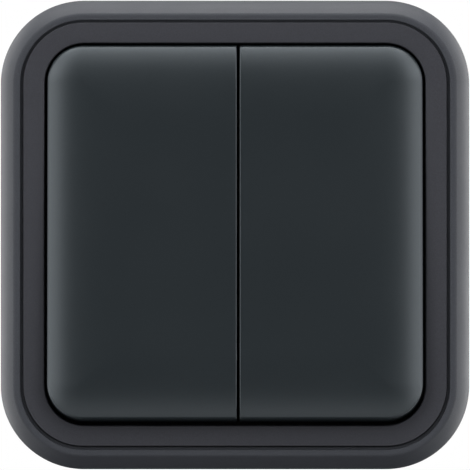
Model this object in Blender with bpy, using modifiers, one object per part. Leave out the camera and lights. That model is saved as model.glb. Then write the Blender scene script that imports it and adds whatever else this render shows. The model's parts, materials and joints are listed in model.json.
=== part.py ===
"""Two-gang rocker wall switch for a round flush wall box, as an assembly.

The switch is modelled lying on its back: X to the right, Y up the wall and Z out of the
wall, with Z = 0 on the wall.  The empty "wall" then stands it up, so that in the world
X is to the right, Z is up and -Y is out of the wall, into the room.
Sizes are in millimetres, and MM turns them into Blender's metres.
"""
import bpy
import bmesh
from math import cos, pi, radians, sin
from mathutils import Matrix, Vector

MM = 0.001

# How far cutters run past a face, how deep joined shapes meet, and the running clearance
OVERCUT = 1.0
FUSE = 0.5
GAP = 0.3

# Front plate: a rounded square, whose corners all share one centre
PLATE_HALF = 43.0
PLATE_CORNER = 15.3
CORNER_STEPS = 9
FRAME_FRONT = 9.95
FRAME_BACK = 0.4
SIDE_WIDTH = 2.4
SIDE_FOOT = 3.0
SIDE_ARC = radians(62)
SIDE_STEPS = 5
SIDE_CREASE = 0.15
SIDE_INNER = 2.2
FOOT_INNER = 1.7
FRAME_BAND_END = 3.6
LEDGE_FRONT = 8.2
LEDGE_BACK = 6.8
LEDGE_END = 6.85

# Front ring: measured inwards from the plate's edge, like the frame
RING_START = 4.15
RING_FLAT_END = 5.9
RING_END = 7.95
RING_FRONT = 10.0
RING_BACK = 8.5
RING_EDGE = 0.2
RING_SKIRT_WALL = 1.0
RING_SKIRT_BACK = 3.0
RING_LIP = ((0.65, 0.1), (0.1, 0.35), (0.0, 0.85))

# Rockers: two caps that tilt about one line, each way by half of the swing
ROCKER_PIVOT = 4.0
ROCKER_SWING = 6.0
ROCKER_FRONT = 13.0
ROCKER_SKIRT_END = 5.2
ROCKER_HALF_HEIGHT = 34.23
ROCKER_OUTER = 34.35
ROCKER_CORNER = 6.6
ROCKER_CROWN = 1.5
ROCKER_DRAFT = 0.27
ROCKER_WALL = 1.8
ROCKER_JOINT = 0.5
ROCKER_GAP = 0.5
RELIEF_HALF_Y = 25.5
RELIEF_FRONT = 4.7

# Snap fit of the caps: heights are from the pivot
RIB_HALF_WIDTH = 4.5
RIB_SPAN = (3.0, 4.2)
RIB_BACK = 5.9
LUG_HALF_WIDTH = 3.0
LUG_SPAN = (9.3, 10.9)
LUG_BACK = 3.0
BARB_HALF_WIDTH = 2.6
BARB_SPAN = (10.2, 11.5)
BARB_DEPTH = (3.1, 3.7)

# Cradles: heights are from the pivot
CRADLE_HALF_WIDTH = 6.0
CRADLE_DECK = (4.0, 5.6)
WEB_HALF_WIDTH = 5.4
WEB_HALF_LENGTH = 2.0
HUB_RADIUS = 2.8
HUB_REACH = 5.8
TRUNNION_RADIUS = 1.4
TRUNNION_REACH = 7.4
STEM_RADIUS = 3.0
STEM_END = -8.5
STEM_BORE = 1.9
STEM_BORE_START = -1.0
LUG_SLOT_HALF_WIDTH = 3.3
LUG_SLOT_SPAN = (9.0, 11.2)

# Plungers and their springs: heights are from the pivot
PLUNGER_RADIUS = 1.55
PLUNGER_TOP = -3.8
PLUNGER_SHOULDER = -4.6
PLUNGER_PIN = 0.7
NOSE_CENTRE = -12.85
NOSE_END = -14.4
SPRING_TOP = -1.35
SPRING_BOTTOM = -4.05
SPRING_RADIUS = 1.3
SPRING_WIRE = 0.2
SPRING_TURNS = 4
SPRING_STEPS = 10

# Wall fixing: steel support frame over a rubber seal, screws 60 apart
SEAL_HALF = 40.6
SEAL_HOLE = 33.0
SEAL_THICKNESS = 1.0
YOKE_HALF = 35.5
YOKE_BACK = 1.3
YOKE_FRONT = 2.3
YOKE_CORNER = 7.0
FIXING_SPACING = 60.0
FIXING_SLOT_HALF = 1.9
FIXING_SLOT_RUN = 2.2
FIXING_HEAD = 3.2
FIXING_SHANK = 1.5
FIXING_HEIGHT = 1.7
FIXING_TIP = -14.0
LEG_OFFSET = 20.0
LEG_HALF = 2.5
LEG_INNER = 35.35
LEG_OUTER = 35.95
LEG_NOTCH = 35.05
LEG_NOTCH_END = 37.0
LEG_CLEARANCE = 0.4
LEG_SPAN = (0.4, 3.6)
LEG_PORT_MARGIN = 0.7
LEG_PORT_HALF = 1.2
LEG_PORT_CORNER = 0.5
LEG_BARB_INSET = 0.4
LEG_BARB_REACH = (-0.7, 0.3)
LEG_BARB_SPAN = (0.45, 1.0)

# Mechanism: body behind the wall, cover in front of it, one gang at each side
GANG_OFFSET = 10.6
BODY_HALF_X = 22.0
BODY_HALF_Y = 20.0
BODY_CHAMFER = 4.0
BODY_BACK = -29.0
BODY_FRONT = 1.0
BODY_TOP = 0.5
RIM_MARGIN = 1.8
RIM_CHAMFER = 5.0
COVER_FRONT = 5.7
COVER_MARGIN = 0.2
FLANGE_HALF_X = 25.0
FLANGE_HALF_Y = 23.0
FLANGE_FRONT = 4.1
BEARING_RADIUS = 1.7
BEARING_REACH = 7.6
BEARING_NOTCH_HALF = 7.65
COVER_POCKET_HALF_X = 16.2
COVER_POCKET_Y = (13.4, 18.6)
COVER_POCKET_FRONT = 4.2
SEAL_CORNER = 1.0
SEAL_FRONT = COVER_FRONT + 0.9
SEAL_WINDOW_MARGIN = 0.4
SCREW_HEAD_PORT = 2.4
CHAMBER_HALF_X = 6.6
CHAMBER_HALF_Y = 17.0
CHAMBER_FLOOR = -15.9
WINDOW_HALF_X = 6.2
WINDOW_HALF_Y = 12.0
COVER_SCREW_X = 19.3
COVER_SCREW_Y = 14.6
COVER_SCREW_BORE = 1.45
COVER_SCREW_COUNTERBORE = 2.2
COVER_SCREW_SEAT = 4.0
COVER_SCREW_HEAD = 1.9
COVER_SCREW_SHANK = 1.15
COVER_SCREW_HEIGHT = 1.2
COVER_SCREW_TIP = -8.0
COVER_SCREW_BORE_END = -9.0

# Slotted screws, as parts of the screw's length, head radius or head height
SCREW_TIP_START = 0.96
SCREW_TIP_TAPER = 0.6
SCREW_HEAD_TOP = 0.8
SCREW_HEAD_SHOULDER = 0.65
SCREW_SLOT_FLOOR = 0.5
SCREW_SLOT_REACH = 1.2
SCREW_SLOT_WIDTH = 0.14

# Contacts: a lever rocks on the common strip, between two fixed contacts
FULCRUM = -11.7
LEVER_SWING = 16.0
LEVER_HALF_LENGTH = 9.6
LEVER_HALF_WIDTH = 2.5
LEVER_THICKNESS = 0.8
CONTACT_OFFSET = 8.0
RIVET_HOLE = 1.1
RIVET_SHANK = 0.8
RIVET_HEAD = 1.8
RIVET_CLENCH = 1.4
RIVET_CLENCH_HEIGHT = 0.4
RIVET_RIM = 0.45
RIVET_DOME = 1.0
RIVET_HOLE_SPAN = (-1.0, 3.0)
MOVING_SHOULDER = 0.72
MOVING_TOP = 0.8
FIXED_RIM = 0.25
FIXED_SHOULDER = 0.52
FIXED_TOP = 0.6
STRIP_THICKNESS = 0.8
STRIP_EDGE = 0.3
STRIP_HALF_WIDTH = 2.4
STRIP_BACK = CHAMBER_FLOOR + GAP
STRIP_FOOT = -19.3
STRIP_FOOT_REACH = 2.4
STRIP_SLOT_MARGIN = 0.4
TRAVELLER_START = 5.4

# Terminals: brass blocks in pockets that open at the rear
TERMINAL_SPACING = 13.2
TERMINAL_HALF = 3.6
TERMINAL_FRONT = -17.4
TERMINAL_BACK = -26.6
TUNNEL_HALF = 2.6
TUNNEL_FRONT = -18.2
TUNNEL_BACK = -24.0
THREAD_RADIUS = 1.7
ENTRY_HALF = 2.4
ENTRY_FRONT = -19.4
ENTRY_START_Y = 16.0
ENTRY_START_X = 3.0
TERMINAL_SCREW_HEAD = 2.2
TERMINAL_SCREW_SHANK = 1.4
TERMINAL_SCREW_HEIGHT = -1.6
TERMINAL_SCREW_TIP = TUNNEL_BACK - 0.1

SIDES = ((-1, "left"), (1, "right"))


# ---------------------------------------------------------------- scene and materials

def clear_scene():
    for item in list(bpy.data.objects):
        bpy.data.objects.remove(item)


def new_collection(name):
    collection = bpy.data.collections.new(name)
    bpy.context.scene.collection.children.link(collection)
    return collection


def new_material(name, colour, roughness, metallic=0.0):
    material = bpy.data.materials.new(name)
    material.use_nodes = True
    shader = material.node_tree.nodes["Principled BSDF"]
    shader.inputs["Base Color"].default_value = (*colour, 1.0)
    shader.inputs["Roughness"].default_value = roughness
    shader.inputs["Metallic"].default_value = metallic
    return material


clear_scene()
PARTS = new_collection("rocker_wall_switch")
CUTTERS = new_collection("cutters")

FRAME_PLASTIC = new_material("frame_plastic", (0.052, 0.055, 0.064), 0.55)
RING_PLASTIC = new_material("ring_plastic", (0.041, 0.042, 0.049), 0.55)
ROCKER_PLASTIC = new_material("rocker_plastic", (0.009, 0.012, 0.014), 0.4)
SEAL_RUBBER = new_material("seal_rubber", (0.012, 0.012, 0.013), 0.8)
BODY_PLASTIC = new_material("body_plastic", (0.22, 0.22, 0.215), 0.5)
COVER_PLASTIC = new_material("cover_plastic", (0.10, 0.10, 0.11), 0.5)
CRADLE_PLASTIC = new_material("cradle_plastic", (0.75, 0.74, 0.70), 0.4)
PLUNGER_PLASTIC = new_material("plunger_plastic", (0.55, 0.10, 0.05), 0.4)
YOKE_STEEL = new_material("yoke_steel", (0.05, 0.05, 0.055), 0.42, 1.0)
SCREW_STEEL = new_material("screw_steel", (0.50, 0.49, 0.45), 0.4, 1.0)
SPRING_STEEL = new_material("spring_steel", (0.55, 0.55, 0.56), 0.25, 1.0)
STRIP_COPPER = new_material("strip_copper", (0.72, 0.38, 0.22), 0.35, 1.0)
LEVER_COPPER = new_material("lever_copper", (0.76, 0.44, 0.26), 0.3, 1.0)
CONTACT_SILVER = new_material("contact_silver", (0.85, 0.84, 0.80), 0.25, 1.0)
TERMINAL_BRASS = new_material("terminal_brass", (0.60, 0.46, 0.22), 0.38, 1.0)


# ---------------------------------------------------------------- modelling helpers

def new_empty(name, parent=None, height=0.0, tilt=0.0):
    empty = bpy.data.objects.new(name, None)
    empty.parent = parent
    empty.location.z = height * MM
    empty.rotation_euler.x = radians(tilt)
    empty.empty_display_size = 10 * MM
    PARTS.objects.link(empty)
    return empty


def add_box(bm, low, high):
    size = [(b - a) * MM for a, b in zip(low, high)]
    centre = [(a + b) / 2 * MM for a, b in zip(low, high)]
    matrix = Matrix.Translation(centre) @ Matrix.Diagonal((*size, 1))
    return bmesh.ops.create_cube(bm, size=1, matrix=matrix)["verts"]


def add_rod(bm, radius, start, end, sides=16):
    start = Vector(start) * MM
    end = Vector(end) * MM
    turn = Vector((0, 0, 1)).rotation_difference(end - start).to_matrix().to_4x4()
    matrix = Matrix.Translation((start + end) / 2) @ turn
    bmesh.ops.create_cone(bm, cap_ends=True, segments=sides, radius1=radius * MM,
                          radius2=radius * MM, depth=(end - start).length, matrix=matrix)


def place(item, parent, collection):
    item.parent = parent
    collection.objects.link(item)
    if collection is CUTTERS:
        item.hide_render = True
        item.display_type = "WIRE"
    return item


def from_bmesh(name, bm, parent, material=None):
    """A part when it has a material, and otherwise a cutter."""
    bmesh.ops.recalc_face_normals(bm, faces=bm.faces)
    mesh = bpy.data.meshes.new(name)
    bm.to_mesh(mesh)
    bm.free()
    if material:
        mesh.materials.append(material)
    mesh.shade_smooth()
    mesh.set_sharp_from_angle(angle=radians(35))
    return place(bpy.data.objects.new(name, mesh), parent, PARTS if material else CUTTERS)


def boxes(name, parent, *spans, material=None):
    """Each span is an (x, y, z) triple of (low, high) pairs."""
    bm = bmesh.new()
    for x, y, z in spans:
        add_box(bm, (x[0], y[0], z[0]), (x[1], y[1], z[1]))
    return from_bmesh(name, bm, parent, material)


def rods(name, parent, *spans, material=None):
    """Each span is a radius, a start point and an end point."""
    bm = bmesh.new()
    for radius, start, end in spans:
        add_rod(bm, radius, start, end)
    return from_bmesh(name, bm, parent, material)


def combine(part, operation, *tools):
    for tool in tools:
        modifier = part.modifiers.new(tool.name, "BOOLEAN")
        modifier.operation = operation
        modifier.object = tool
    return part


def around(centre, half):
    return (centre - half, centre + half)


def rounded(half_x, half_y, radius, steps=CORNER_STEPS, centre=(0.0, 0.0)):
    """Anticlockwise outline of a rectangle with round corners."""
    points = []
    for corner, (sx, sy) in enumerate(((1, -1), (1, 1), (-1, 1), (-1, -1))):
        for step in range(steps + 1):
            angle = pi / 2 * (corner - 1 + step / steps)
            points.append((centre[0] + sx * (half_x - radius) + radius * cos(angle),
                           centre[1] + sy * (half_y - radius) + radius * sin(angle)))
    return points


def circle(radius, centre=(0.0, 0.0), steps=24):
    angles = [2 * pi * step / steps for step in range(steps)]
    return [(centre[0] + radius * cos(a), centre[1] + radius * sin(a)) for a in angles]


def chamfered(half_x, half_y, chamfer):
    return rounded(half_x, half_y, chamfer, steps=1)


def new_curve(name, outlines):
    curve = bpy.data.curves.new(name, "CURVE")
    curve.dimensions = "2D"
    for outline in outlines:
        spline = curve.splines.new("POLY")
        spline.points.add(len(outline) - 1)
        for point, (x, y) in zip(spline.points, outline):
            point.co = (x * MM, y * MM, 0, 1)
        spline.use_cyclic_u = True
    return curve


def mesh_part(name, curve, parent, material=None, matrix=None):
    """Turns a curve into a closed mesh, its caps welded on."""
    source = bpy.data.objects.new(name + "_curve", curve)
    bpy.context.scene.collection.objects.link(source)
    graph = bpy.context.evaluated_depsgraph_get()
    mesh = bpy.data.meshes.new_from_object(source.evaluated_get(graph))
    bpy.data.objects.remove(source)
    bm = bmesh.new()
    bm.from_mesh(mesh)
    bmesh.ops.remove_doubles(bm, verts=bm.verts, dist=0.001 * MM)
    if matrix:
        bm.transform(matrix)
    bpy.data.meshes.remove(mesh)
    return from_bmesh(name, bm, parent, material)


def plate(name, parent, outlines, low, high, material=None):
    """Flat plate from low to high: an outline with the outlines of its holes."""
    curve = new_curve(name, outlines)
    curve.fill_mode = "BOTH"
    curve.extrude = (high - low) / 2 * MM
    lift = Matrix.Translation((0, 0, (low + high) / 2 * MM))
    return mesh_part(name, curve, parent, material, lift)


def swept_ring(name, parent, profile, material):
    """Runs a profile of (inward, height) points around the plate's outline."""
    section = bpy.data.objects.new(name + "_section", new_curve(name + "_section", [profile]))
    path = new_curve(name, [rounded(PLATE_HALF, PLATE_HALF, PLATE_CORNER)])
    path.fill_mode = "NONE"
    path.bevel_mode = "OBJECT"
    path.bevel_object = section
    ring = mesh_part(name, path, parent, material)
    bpy.data.objects.remove(section)
    return ring


def turned(name, parent, profile, material, centre=(0.0, 0.0), steps=12):
    """Turns (radius, height) points about Z. The profile runs from top to bottom."""
    mesh = bpy.data.meshes.new(name)
    bm = bmesh.new()
    points = [bm.verts.new((radius * MM, 0, height * MM)) for radius, height in profile]
    for pair in zip(points, points[1:]):
        bm.edges.new(pair)
    bm.to_mesh(mesh)
    bm.free()
    mesh.materials.append(material)
    part = place(bpy.data.objects.new(name, mesh), parent, PARTS)
    part.location.x = centre[0] * MM
    part.location.y = centre[1] * MM
    screw = part.modifiers.new("turn", "SCREW")
    screw.steps = steps
    screw.render_steps = steps
    screw.use_merge_vertices = True
    screw.merge_threshold = 0.01 * MM
    return part


def slotted_screw(name, parent, centre, head, shank, seat, height, tip, material):
    """Screw along Z: its head rises by height from the seat, its shank ends at the tip."""
    top = seat + height
    end = seat + (tip - seat) * SCREW_TIP_START
    profile = [(0, top), (head * SCREW_HEAD_TOP, top), (head, seat + height * SCREW_HEAD_SHOULDER),
               (head, seat), (shank, seat), (shank, end), (shank * SCREW_TIP_TAPER, tip), (0, tip)]
    if height < 0:
        profile.reverse()
    screw = turned(name, parent, profile, material, centre)
    depth = sorted((seat + height * SCREW_SLOT_FLOOR, top + height))
    slot = boxes(name + "_slot", parent, (around(centre[0], head * SCREW_SLOT_REACH),
                                          around(centre[1], head * SCREW_SLOT_WIDTH), depth))
    return combine(screw, "DIFFERENCE", slot)


# ---------------------------------------------------------------- front plate

def make_wall_seal(wall):
    outline = rounded(SEAL_HALF, SEAL_HALF, SEAL_HALF - PLATE_HALF + PLATE_CORNER)
    holes = [circle(SEAL_HOLE, steps=40)]
    for x in (-LEG_OFFSET, LEG_OFFSET):
        for y in (-LEG_INNER, LEG_INNER):
            holes.append(rounded(LEG_HALF + LEG_PORT_MARGIN, LEG_PORT_HALF, LEG_PORT_CORNER, 1, (x, y)))
    plate("wall_seal", wall, [outline, *holes], 0, SEAL_THICKNESS, SEAL_RUBBER)


def make_outer_frame(wall):
    """Curved sides, a flat band, and a sunken ledge that the front ring rests on."""
    rise = FRAME_FRONT - SIDE_CREASE - SIDE_FOOT
    side = []
    for step in range(SIDE_STEPS + 1):
        angle = SIDE_ARC * step / SIDE_STEPS
        inward = SIDE_WIDTH * (1 - cos(angle)) / (1 - cos(SIDE_ARC))
        side.append((inward, SIDE_FOOT + rise * sin(angle) / sin(SIDE_ARC)))
    band = [(FRAME_BAND_END, FRAME_FRONT), (FRAME_BAND_END, LEDGE_FRONT)]
    ledge = [(LEDGE_END, LEDGE_FRONT), (LEDGE_END, LEDGE_BACK)]
    inside = [(SIDE_INNER, LEDGE_BACK), (FOOT_INNER, FRAME_BACK), (0, FRAME_BACK)]
    swept_ring("outer_frame", wall, [*side, *band, *ledge, *inside], FRAME_PLASTIC)


def make_front_ring(wall):
    """Flat ring with a soft inner lip, a skirt around the rockers, and four snap legs."""
    front = [(RING_START, RING_BACK), (RING_START, RING_FRONT - RING_EDGE),
             (RING_START + RING_EDGE, RING_FRONT), (RING_FLAT_END, RING_FRONT)]
    lip = [(RING_END - inset, RING_FRONT - drop) for inset, drop in RING_LIP]
    skirt = [(RING_END, RING_SKIRT_BACK), (RING_END - RING_SKIRT_WALL, RING_SKIRT_BACK),
             (RING_END - RING_SKIRT_WALL, RING_BACK)]
    ring = swept_ring("front_ring", wall, [*front, *lip, *skirt], RING_PLASTIC)
    legs = []
    barbs = []
    for x in (-LEG_OFFSET, LEG_OFFSET):
        for y in (-1, 1):
            leg = sorted((y * LEG_INNER, y * LEG_OUTER))
            barb = sorted(y * (LEG_INNER + reach) for reach in LEG_BARB_REACH)
            legs.append((around(x, LEG_HALF), leg, LEG_SPAN))
            barbs.append((around(x, LEG_HALF - LEG_BARB_INSET), barb, LEG_BARB_SPAN))
    combine(ring, "UNION", boxes("ring_legs", wall, *legs), boxes("ring_barbs", wall, *barbs))


# ---------------------------------------------------------------- rockers and cradles

def cap_body(inner, outer, half_y, low, high, corner, crown):
    """Block with round corners on its outer side, and a soft edge around its front."""
    bm = bmesh.new()
    x_low, x_high = sorted((inner, outer))
    add_box(bm, (x_low, -half_y, low), (x_high, half_y, high))

    def on(vert, axis, value):
        return abs(vert.co[axis] - value * MM) < 0.001 * MM

    posts = [e for e in bm.edges if all(on(v, 0, outer) for v in e.verts)
             and not on(e.verts[0], 2, e.verts[1].co.z / MM)]
    bmesh.ops.bevel(bm, geom=posts, offset=corner * MM, segments=6, profile=0.5,
                    affect="EDGES")
    if crown:
        rim = [e for e in bm.edges if all(on(v, 2, high) for v in e.verts)
               and not all(on(v, 0, inner) for v in e.verts)]
        bmesh.ops.bevel(bm, geom=rim, offset=crown * MM, segments=3, profile=0.5,
                        affect="EDGES")
    return bm


def draft(bm, inner, outer, half_y, high, depth):
    """Flares the sides of a cap towards its back, apart from its straight inner side."""
    for vert in bm.verts:
        flare = ROCKER_DRAFT * (high - vert.co.z / MM) / depth
        vert.co.x += (vert.co.x - inner * MM) * flare / abs(outer - inner)
        vert.co.y += vert.co.y * flare / half_y


def make_rocker(side, label, pivot):
    """Hollow cap that snaps on its cradle with two barbed lugs. Heights are from the pivot."""
    inner = ROCKER_JOINT + side * ROCKER_GAP / 2
    outer = side * ROCKER_OUTER
    front = ROCKER_FRONT - ROCKER_PIVOT
    back = ROCKER_SKIRT_END - ROCKER_PIVOT
    under = front - ROCKER_WALL
    centre = side * GANG_OFFSET
    name = "rocker_" + label
    body = cap_body(inner, outer, ROCKER_HALF_HEIGHT, back, front, ROCKER_CORNER, ROCKER_CROWN)
    draft(body, inner, outer, ROCKER_HALF_HEIGHT, front, front - back)
    cap = from_bmesh(name, body, pivot, ROCKER_PLASTIC)
    hollow = cap_body(inner + side * ROCKER_WALL, outer - side * ROCKER_WALL,
                      ROCKER_HALF_HEIGHT - ROCKER_WALL, back - OVERCUT, under,
                      ROCKER_CORNER - ROCKER_WALL, 0)
    relief = boxes(name + "_relief", pivot,
                   (around(inner, ROCKER_WALL + FUSE), around(0, RELIEF_HALF_Y),
                    (back - OVERCUT, RELIEF_FRONT)))
    combine(cap, "DIFFERENCE", from_bmesh(name + "_hollow", hollow, pivot), relief)
    ribs = []
    barbs = []
    for y in (1, -1):
        rib, lug, barb = [sorted((y * low, y * high)) for low, high in
                          (RIB_SPAN, LUG_SPAN, BARB_SPAN)]
        ribs.append((around(centre, RIB_HALF_WIDTH), rib, (RIB_BACK, under + FUSE)))
        ribs.append((around(centre, LUG_HALF_WIDTH), lug, (LUG_BACK, under + FUSE)))
        barbs.append((around(centre, BARB_HALF_WIDTH), barb, BARB_DEPTH))
    combine(cap, "UNION", boxes(name + "_ribs", pivot, *ribs),
            boxes(name + "_barbs", pivot, *barbs))


def make_cradle(side, label, pivot):
    """Platform under the cap, a hub with two trunnions, and a hollow stem."""
    x = side * GANG_OFFSET
    name = "cradle_" + label
    deck = (around(x, CRADLE_HALF_WIDTH), around(0, WINDOW_HALF_Y), CRADLE_DECK)
    cradle = boxes(name, pivot, deck, material=CRADLE_PLASTIC)
    web = boxes(name + "_web", pivot, (around(x, WEB_HALF_WIDTH), around(0, WEB_HALF_LENGTH),
                                       (0, CRADLE_DECK[0] + FUSE)))
    hub = rods(name + "_hub", pivot, (HUB_RADIUS, (x - HUB_REACH, 0, 0), (x + HUB_REACH, 0, 0)))
    trunnions = rods(name + "_trunnions", pivot,
                     (TRUNNION_RADIUS, (x - TRUNNION_REACH, 0, 0), (x + TRUNNION_REACH, 0, 0)))
    stem = rods(name + "_stem", pivot, (STEM_RADIUS, (x, 0, 0), (x, 0, STEM_END)))
    combine(cradle, "UNION", web, hub, trunnions, stem)
    bore = rods(name + "_bore", pivot,
                (STEM_BORE, (x, 0, STEM_BORE_START), (x, 0, STEM_END - FUSE)))
    slots = []
    for y in (1, -1):
        span = sorted(y * end for end in LUG_SLOT_SPAN)
        slots.append((around(x, LUG_SLOT_HALF_WIDTH), span, (LUG_BACK, CRADLE_DECK[1] + OVERCUT)))
    combine(cradle, "DIFFERENCE", bore, boxes(name + "_slots", pivot, *slots))


def make_plunger(side, label, pivot):
    """Round-nosed pin in the stem, which the spring presses on the contact lever."""
    nose = [(PLUNGER_RADIUS * cos(radians(angle)),
             NOSE_CENTRE - PLUNGER_RADIUS * sin(radians(angle))) for angle in (0, 30, 60)]
    profile = [(0, PLUNGER_TOP), (PLUNGER_PIN, PLUNGER_TOP), (PLUNGER_PIN, PLUNGER_SHOULDER),
               (PLUNGER_RADIUS, PLUNGER_SHOULDER), *nose, (0, NOSE_END)]
    turned("plunger_" + label, pivot, profile, PLUNGER_PLASTIC, (side * GANG_OFFSET, 0))


def make_spring(side, label, pivot):
    """Coil between the blind end of the stem and the plunger's shoulder."""
    count = SPRING_TURNS * SPRING_STEPS
    curve = bpy.data.curves.new("plunger_spring_" + label, "CURVE")
    curve.dimensions = "3D"
    curve.bevel_depth = SPRING_WIRE * MM
    curve.bevel_resolution = 2
    curve.use_fill_caps = True
    spline = curve.splines.new("POLY")
    spline.points.add(count)
    for step, point in enumerate(spline.points):
        angle = 2 * pi * step / SPRING_STEPS
        height = SPRING_TOP + (SPRING_BOTTOM - SPRING_TOP) * step / count
        point.co = (SPRING_RADIUS * cos(angle) * MM, SPRING_RADIUS * sin(angle) * MM,
                    height * MM, 1)
    curve.materials.append(SPRING_STEEL)
    spring = place(bpy.data.objects.new("plunger_spring_" + label, curve), pivot, PARTS)
    spring.location.x = side * GANG_OFFSET * MM


# ---------------------------------------------------------------- support and mechanism body

def make_support_frame(wall):
    """Steel plate with slots for the box screws and notches for the ring's legs."""
    slots = []
    for side, _ in SIDES:
        centre = (side * FIXING_SPACING / 2, 0)
        half_y = FIXING_SLOT_HALF + FIXING_SLOT_RUN
        slots.append(rounded(FIXING_SLOT_HALF, half_y, FIXING_SLOT_HALF, 4, centre))
    opening = chamfered(BODY_HALF_X + FUSE, BODY_HALF_Y + FUSE, BODY_CHAMFER)
    outlines = [rounded(YOKE_HALF, YOKE_HALF, YOKE_CORNER), opening, *slots]
    yoke = plate("support_frame", wall, outlines, YOKE_BACK, YOKE_FRONT, YOKE_STEEL)
    depth = (YOKE_BACK - OVERCUT, YOKE_FRONT + OVERCUT)
    notches = [(around(x, LEG_HALF + LEG_CLEARANCE), sorted((y * LEG_NOTCH, y * LEG_NOTCH_END)), depth)
               for x in (-LEG_OFFSET, LEG_OFFSET) for y in (-1, 1)]
    combine(yoke, "DIFFERENCE", boxes("leg_notches", wall, *notches))


def gang_boxes(spans):
    """Repeats boxes, given about a gang's centre, for both gangs."""
    repeated = []
    for side, _ in SIDES:
        centre = side * GANG_OFFSET
        repeated += [(sorted((centre + side * x[0], centre + side * x[1])), y, z)
                     for x, y, z in spans]
    return repeated


def screw_corners():
    return [(x, y) for x in (-COVER_SCREW_X, COVER_SCREW_X)
            for y in (-COVER_SCREW_Y, COVER_SCREW_Y)]


def screw_holes(name, wall, radius, low, high):
    return rods(name, wall, *[(radius, (x, y, low), (x, y, high)) for x, y in screw_corners()])


def make_mechanism_base(wall):
    """Moulded body: two contact chambers in front, six terminal pockets at the rear."""
    base = plate("mechanism_base", wall, [chamfered(BODY_HALF_X, BODY_HALF_Y, BODY_CHAMFER)],
                 BODY_BACK, BODY_TOP, BODY_PLASTIC)
    rim_outline = chamfered(BODY_HALF_X + RIM_MARGIN, BODY_HALF_Y + RIM_MARGIN, RIM_CHAMFER)
    rim = plate("base_rim", wall, [rim_outline], 0.0, BODY_FRONT)
    combine(base, "UNION", rim)
    rows = (-TERMINAL_SPACING, 0, TERMINAL_SPACING)
    floor_back = TERMINAL_FRONT + GAP
    chambers = [(around(0, CHAMBER_HALF_X), around(0, CHAMBER_HALF_Y),
                 (CHAMBER_FLOOR, BODY_FRONT + OVERCUT))]
    pockets = [(around(0, TERMINAL_HALF + GAP), around(y, TERMINAL_HALF + GAP),
                (BODY_BACK - OVERCUT, floor_back)) for y in rows]
    slot_half = (STRIP_HALF_WIDTH + STRIP_SLOT_MARGIN, STRIP_THICKNESS / 2 + GAP)
    strip_slots = [(around(0, slot_half[0]), around(y, slot_half[1]),
                    (floor_back - FUSE, CHAMBER_FLOOR + FUSE)) for y in rows]
    depth = (TUNNEL_BACK, ENTRY_FRONT)
    outside = BODY_HALF_Y + OVERCUT
    entries = [(around(0, ENTRY_HALF), (ENTRY_START_Y, outside), depth),
               (around(0, ENTRY_HALF), (-outside, -ENTRY_START_Y), depth),
               ((ENTRY_START_X, BODY_HALF_X), around(0, ENTRY_HALF), depth)]
    combine(base, "DIFFERENCE",
            boxes("base_chambers", wall, *gang_boxes(chambers + pockets)),
            boxes("base_passages", wall, *gang_boxes(strip_slots + entries)),
            screw_holes("base_screw_holes", wall, COVER_SCREW_BORE, COVER_SCREW_BORE_END,
                        BODY_FRONT + OVERCUT))


def make_mechanism_cover(wall):
    """Flanged cover that carries the trunnions in notches open to the front."""
    outline = chamfered(BODY_HALF_X + COVER_MARGIN, BODY_HALF_Y + COVER_MARGIN, BODY_CHAMFER)
    cover = plate("mechanism_cover", wall, [outline], BODY_FRONT + GAP, COVER_FRONT,
                  COVER_PLASTIC)
    flange = plate("cover_flange", wall, [chamfered(FLANGE_HALF_X, FLANGE_HALF_Y, RIM_CHAMFER)],
                   YOKE_FRONT + GAP, FLANGE_FRONT)
    combine(cover, "UNION", flange)
    above = COVER_FRONT + OVERCUT
    windows = [(around(0, WINDOW_HALF_X), around(0, WINDOW_HALF_Y), (0, above))]
    notches = [(around(0, BEARING_NOTCH_HALF), around(0, BEARING_RADIUS), (ROCKER_PIVOT, above))]
    pockets = [(around(0, COVER_POCKET_HALF_X), sorted(y * end for end in COVER_POCKET_Y),
                (0, COVER_POCKET_FRONT)) for y in (1, -1)]
    bearings = [(BEARING_RADIUS, (side * GANG_OFFSET - BEARING_REACH, 0, ROCKER_PIVOT),
                 (side * GANG_OFFSET + BEARING_REACH, 0, ROCKER_PIVOT)) for side, _ in SIDES]
    combine(cover, "DIFFERENCE",
            boxes("cover_windows", wall, *gang_boxes(windows)),
            boxes("cover_notches", wall, *gang_boxes(notches)),
            rods("cover_bearings", wall, *bearings),
            boxes("cover_pockets", wall, *pockets),
            screw_holes("cover_screw_holes", wall, COVER_SCREW_BORE, 0, above),
            screw_holes("cover_screw_heads", wall, COVER_SCREW_COUNTERBORE, COVER_SCREW_SEAT,
                        above))


def make_mechanism_seal(wall):
    """Soft gasket around the two windows, under the rockers."""
    half = (WINDOW_HALF_X + GAP, WINDOW_HALF_Y + SEAL_WINDOW_MARGIN)
    windows = [rounded(*half, SEAL_CORNER, 2, (side * GANG_OFFSET, 0)) for side, _ in SIDES]
    heads = [circle(SCREW_HEAD_PORT, corner, 16) for corner in screw_corners()]
    outline = chamfered(BODY_HALF_X - COVER_MARGIN, BODY_HALF_Y - COVER_MARGIN, BODY_CHAMFER)
    plate("mechanism_seal", wall, [outline, *windows, *heads], COVER_FRONT + GAP, SEAL_FRONT,
          SEAL_RUBBER)


# ---------------------------------------------------------------- contacts and terminals

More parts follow.
